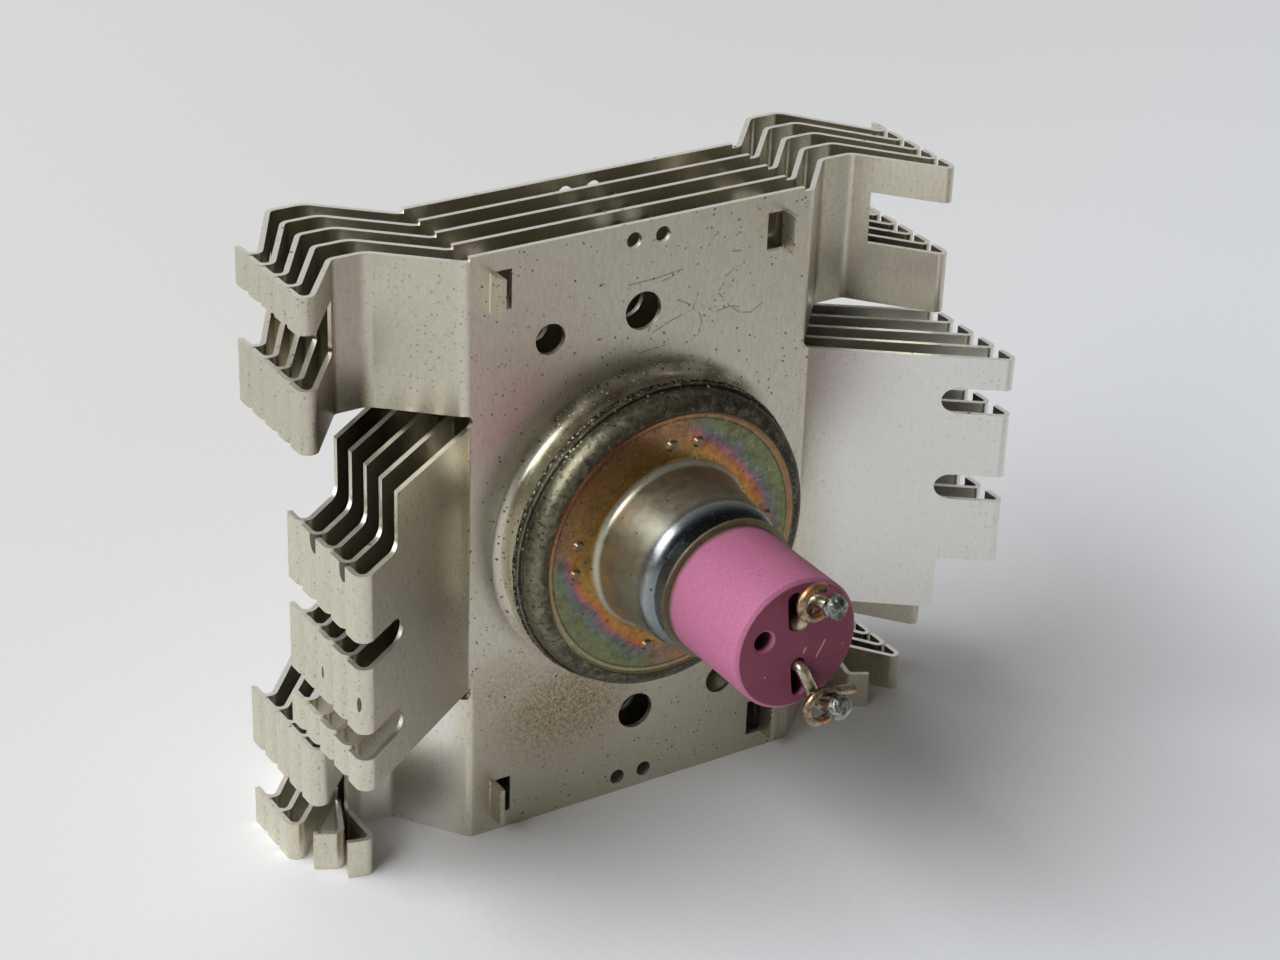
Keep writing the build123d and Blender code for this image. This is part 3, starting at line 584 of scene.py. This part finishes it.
def pink_alumina():
    """Fired pink ceramic: matt grain, an end face darkened by dirt and painted shade, painted shade in its
    slots, a few pale scratches, a brown foot.
    """
    g = MaterialGraph("pink_alumina")
    radius, _, y = g.from_axis()
    cloud = g.noise(120, 4, 0.6)
    colour = g.mix(cloud, (0.44, 0.125, 0.24), (0.53, 0.165, 0.30))
    grain = g.noise(3200, 3, 0.65)
    colour = g.mix(g.step(grain, 0.35, 0.72, 0.0, 0.30), colour, (0.66, 0.28, 0.42))

    end = g.times(g.fall(y, STEM_END + 0.02 * MM, STEM_END + 0.12 * MM),
                  g.step(radius, END_RADIUS - 0.15 * MM, END_RADIUS + 0.05 * MM, 1.0, 0.30))
    # The end face darker: dirt, and painted shade.
    dirt_and_painted_shade = g.mix(g.noise(420, 4, 0.7), (0.18, 0.032, 0.060), (0.32, 0.066, 0.118))
    colour = g.mix(g.times(end, 0.94), colour, dirt_and_painted_shade)
    brink = g.times(g.band(radius, END_RADIUS, 0.03 * MM, 0.12 * MM),
                    g.fall(y, STEM_END + 0.3 * MM, STEM_END + 0.5 * MM))
    colour = g.mix(g.times(brink, 0.65), colour, (0.13, 0.03, 0.04))

    place = g.ragged(0.2 * MM)
    specks = g.most(g.dots(700, 0.10, 0.5, place), g.times(g.dots(1600, 0.16, 0.4, place), 0.6))
    colour = g.mix(g.times(specks, 0.7), colour, (0.11, 0.03, 0.045))
    pale = g.times(g.dots(1200, 0.20, 0.40, place), g.calc("MULTIPLY_ADD", end, 0.75, 0.15))
    for points in CERAMIC_SCRATCHES:
        points = [(x * MM, STEM_END, AXIS + height * MM) for x, height in points]
        pale = g.most(pale, g.times(g.line(points, 0.13 * MM), 0.85))
    colour = g.mix(pale, colour, (0.78, 0.52, 0.50))

    at_stem = g.calc("LESS_THAN", y, 0.0)
    # Painted shade inside the slots in the stem's end.
    painted_shade_in_slots = g.times(g.step(y, STEM_END + 0.35 * MM, STEM_END + 1.0 * MM),
                       g.fall(radius, END_RADIUS - 0.3 * MM, END_RADIUS), at_stem)
    colour = g.mix(g.times(painted_shade_in_slots, 0.9), colour, (0.03, 0.01, 0.014))
    ragged = g.calc("ADD", y, g.times(g.noise(500, 3), 0.9 * MM))
    foot = g.step(ragged, -NECK_LIP - 0.95 * MM, -NECK_LIP - 0.25 * MM)
    colour = g.mix(g.times(foot, at_stem, 0.9), colour, (0.16, 0.12, 0.075))
    rough = g.step(cloud, 0.3, 0.7, 0.50, 0.62)
    return g.finish(colour, rough, g.bump(grain, 0.035 * MM, 0.5), Specular_IOR_Level=0.35)


# Floor

def paper():
    """Pale matt sheet the part stands on, brighter and bluer towards the front right by painted light,
    dimmer towards the front right in reflections.
    """
    g = MaterialGraph("paper")
    # Painted light: the paper brighter and bluer towards the front right.
    painted_light_front_right = g.vector("DOT_PRODUCT", g.place, (0.6, -0.8, 0.0))
    colour = g.mix(g.step(painted_light_front_right, -0.10, 0.08), (0.86, 0.86, 0.85), (0.92, 0.94, 0.98))
    x, y, _ = g.split()
    dim = g.times(g.step(y, -0.15, -0.085, 0.55, 0.0), g.step(x, -0.06, 0.0))
    dim = g.times(dim, g.add("ShaderNodeLightPath").outputs["Is Glossy Ray"])
    colour = g.mix(dim, colour, (0.20, 0.165, 0.11))
    colour = g.mix(g.step(g.noise(900, 4, 0.7), 0.3, 0.7, 0.0, 0.05), colour, (0.6, 0.6, 0.58))
    return g.finish(colour, 0.9, g.bump(g.noise(1100, 3), 0.06 * MM, 0.35), Specular_IOR_Level=0.15)


# Pieces

def clean_copy(node):
    """The node's own shape, its flat parts whole faces again."""
    form = bmesh.new()
    form.from_mesh(frame["nodes"][node].data)
    bmesh.ops.remove_doubles(form, verts=form.verts, dist=0.0005 * MM)
    bmesh.ops.dissolve_limit(form, angle_limit=math.radians(0.3), verts=form.verts, edges=form.edges)
    return form


def into_piece(form, name, node, materials, soft_angle=32):
    """Makes the form a piece of the part, in place of a node unless that is None."""
    mesh = bpy.data.meshes.new(name)
    form.to_mesh(mesh)
    form.free()
    for material in materials:
        mesh.materials.append(material)
    mesh.shade_smooth()
    mesh.set_sharp_from_angle(angle=math.radians(soft_angle))
    piece = bpy.data.objects.new(name, mesh)
    bpy.context.scene.collection.objects.link(piece)
    even = piece.modifiers.new("even", "WEIGHTED_NORMAL")
    even.keep_sharp = True
    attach(piece, "root")
    if node is not None:
        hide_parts(node)


def bevel(form, width, least):
    """Rounds every edge that bends by more than the least angle, in degrees."""
    least = math.radians(least)
    sharp = [e for e in form.edges if len(e.link_faces) == 2 and e.calc_face_angle(0) > least]
    bmesh.ops.bevel(form, geom=sharp, offset=width, segments=2, profile=0.6, affect="EDGES",
                    clamp_overlap=True)


def round_folds(form):
    """Rounds the front of two folds, below left and above right, which the solid leaves square."""
    fold_start, fold_radius = 21.19 * MM, 1.305 * MM
    for side in (-1, 1):
        for past in (0.0, 0.2, 0.4, 0.6, 0.8):
            everything = [*form.verts, *form.edges, *form.faces]
            cut = Vector((side * (fold_start + past * MM), 0, 0))
            bmesh.ops.bisect_plane(form, geom=everything, dist=0.001 * MM, plane_co=cut,
                                   plane_no=(1, 0, 0))
    moved = []
    for vert in form.verts:
        level = vert.co.z - AXIS
        past = abs(vert.co.x) - fold_start
        in_corner = level * vert.co.x > 0 and abs(level) > WING_SLOT
        if in_corner and 0 < past < 1.05 * MM and vert.co.y < FRONT_PLANE + 0.55 * MM:
            if vert.co.y < FRONT_PLANE + 0.02 * MM:
                vert.co.y += fold_radius - math.sqrt(fold_radius ** 2 - past ** 2)
            moved.append(vert)
    bmesh.ops.remove_doubles(form, verts=moved, dist=0.015 * MM)


def fin(number):
    """A fin with bright cut edges; the front one's panel and collar have a look of their own."""
    node = f"fin_{number}"
    form = clean_copy(node)
    if number == 1:
        round_folds(form)
    looks = ("fin_aluminium", "cut", "fin_front") if number == 1 else ("fin_aluminium", "cut")
    for face in form.faces:
        middle = face.calc_center_median()
        off_collar = math.hypot(middle.x, middle.z - AXIS) > COLLAR_FOOT + 0.5 * MM
        on_front = abs(middle.x) < WING_FOLD and middle.y < FRONT_PLANE + 0.05 * MM
        if off_collar and abs(face.normal.z) > 0.2:
            own = "cut"
        elif on_front and "fin_front" in looks:
            own = "fin_front"
        else:
            own = "fin_aluminium"
        face.material_index = looks.index(own)
    bevel(form, 0.07 * MM, 55)
    into_piece(form, f"{node}_sheet", node, [MATERIALS[look] for look in looks])


def stem():
    """The stem ceramic with rounded edges."""
    form = clean_copy("stem_ceramic")
    bevel(form, 0.12 * MM, 35)
    into_piece(form, "stem_body", "stem_ceramic", [MATERIALS["pink_alumina"]])


def bead(name, end):
    """Ring of brazing metal where a seal's rim meets the anode; end is -1 in front and 1 behind."""
    form = bmesh.new()
    turns, sides = 360, 12
    big, small = RIM_RADIUS - 0.08 * MM, 0.26 * MM
    level = end * (ANODE_END + 0.04 * MM)
    rings = []
    for i in range(turns):
        a = 2 * math.pi * i / turns
        ring = []
        for j in range(sides):
            b = 2 * math.pi * j / sides
            place = Vector((math.cos(a) * big, level, math.sin(a) * big))
            out = Vector((math.cos(a) * math.cos(b), math.sin(b), math.sin(a) * math.cos(b)))
            skin = place + out * small
            wrinkle = noise.noise(skin * 900) + 0.6 * noise.noise(skin * 2200)
            place += out * small * (1 + 0.35 * wrinkle)
            place.z += AXIS
            ring.append(form.verts.new(place))
        rings.append(ring)
    for one, two in zip(rings, rings[1:] + rings[:1]):
        for j in range(sides):
            k = (j + 1) % sides
            form.faces.new((one[j], one[k], two[k], two[j]))
    bmesh.ops.recalc_face_normals(form, faces=form.faces)
    into_piece(form, name, None, [MATERIALS["braze"]], 60)


def solder_end(node):
    """Solder end, its smooth solid wrinkled within its own box."""
    form = bmesh.new()
    form.from_mesh(frame["nodes"][node].data)
    bmesh.ops.remove_doubles(form, verts=form.verts, dist=0.001 * MM)
    bmesh.ops.triangulate(form, faces=form.faces)
    long_edges = [e for e in form.edges if e.calc_length() > 0.25 * MM]
    bmesh.ops.subdivide_edges(form, edges=long_edges, cuts=2, use_grid_fill=True)
    low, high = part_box(node)
    middle = (low + high) / 2
    for vert in form.verts:
        wrinkle = noise.noise(vert.co * 1100) * 0.5 + noise.noise(vert.co * 2600) * 0.3
        vert.co = middle + (vert.co - middle) * (0.92 + 0.18 * wrinkle)
        vert.co = Vector(max(a, min(b, c)) for a, b, c in zip(low, high, vert.co))
    into_piece(form, f"{node}_blob", node, [MATERIALS["solder"]], 70)


# Stage

def stage():
    """Round floor just below the part."""
    bpy.ops.mesh.primitive_circle_add(vertices=128, radius=4, fill_type="NGON",
                                      location=(0, 0, -0.02 * MM))
    floor = bpy.context.object
    floor.name = "paper_floor"
    floor.data.materials.append(MATERIALS["paper"])


def lamp(name, azimuth, elevation, size, level, colour):
    """Rectangular lamp far off, its level the brightness that it gives white paper facing it."""
    data = bpy.data.lights.new(name, "AREA")
    data.shape = "RECTANGLE"
    data.size, data.size_y = size
    data.energy = level * (math.pi * LAMP_DISTANCE) ** 2
    data.color = colour
    light = bpy.data.objects.new(name, data)
    a, e = math.radians(azimuth), math.radians(elevation)
    aim = Vector((math.cos(a) * math.cos(e), math.sin(a) * math.cos(e), math.sin(e)))
    light.location = aim * LAMP_DISTANCE + Vector((0, 0, AXIS))
    light.rotation_mode = "QUATERNION"
    light.rotation_quaternion = aim.to_track_quat("Z", "Y")
    bpy.context.scene.collection.objects.link(light)


def surroundings():
    """Pale backdrop behind the part, the room in front of it dim and warm."""
    world = bpy.data.worlds.new("dome")
    world.use_nodes = True
    bpy.context.scene.world = world
    world.node_tree.nodes.clear()
    g = Graph(world.node_tree)

    def background(colour):
        return g.add("ShaderNodeBackground", {0: colour}).outputs[0]

    def choose(factor, one, other):
        """The one where the factor is 0, the other where it is 1."""
        return g.add("ShaderNodeMixShader", {0: factor, 1: one, 2: other}).outputs[0]

    direction = g.add("ShaderNodeTexCoord").outputs["Generated"]
    behind = g.vector("DOT_PRODUCT", direction, Vector((-0.15, 0.95, 0.10)).normalized())
    room = background(g.mix(g.step(behind, 0.1, 0.8), (0.060, 0.050, 0.036), (0.58, 0.58, 0.58)))
    backdrop = background((0.70, 0.71, 0.73))
    ray = g.add("ShaderNodeLightPath").outputs
    mirrored = choose(BACKDROP_SHARE, room, backdrop)
    lighting = choose(ray["Is Glossy Ray"], room, mirrored)
    g.add("ShaderNodeOutputWorld", {0: choose(ray["Is Camera Ray"], lighting, backdrop)})


MATERIALS = {
    "fin_aluminium": fin_aluminium(), "fin_front": fin_front(), "cut": cut_edge(),
    "copper": copper(), "seal_steel": seal_steel(), "plain_steel": plain_steel(),
    "lead_metal": lead_metal(), "solder": solder(), "pink_alumina": pink_alumina(),
    "braze": braze(), "loop": loop_copper(), "paper": paper(),
}

for part in frame["record"]["subparts"]:
    look = "loop" if part["node"].endswith("wire_loop") else part["material_slot"]
    mesh = frame["nodes"][part["node"]].data
    mesh.materials.clear()
    mesh.materials.append(MATERIALS[look])

for number in range(1, 6):
    fin(number)
stem()
bead("front_braze_bead", -1)
bead("rear_braze_bead", 1)
solder_end("upper_solder_end")
solder_end("lower_solder_end")

stage()
surroundings()

# Each window: azimuth and elevation in degrees, width and height in metres, level, colour
lamp("high_window", 178, 44, (2.3, 1.1), 0.82, (0.97, 0.985, 1.0))
lamp("low_window", 146, 16, (1.6, 0.8), 0.25, (0.94, 0.97, 1.0))
lamp("side_window", 204, 27, (0.9, 0.6), 0.08, (0.94, 0.97, 1.0))
lamp("far_window", 123, 24, (0.50, 0.30), 0.11, (0.93, 0.96, 1.0))
photo_camera(focal_px=2901.8, place=(-0.1574, -0.2540, 0.1952), yaw=32.58, pitch=27.71, roll=2.01)
bpy.context.scene.view_settings.view_transform = "Standard"
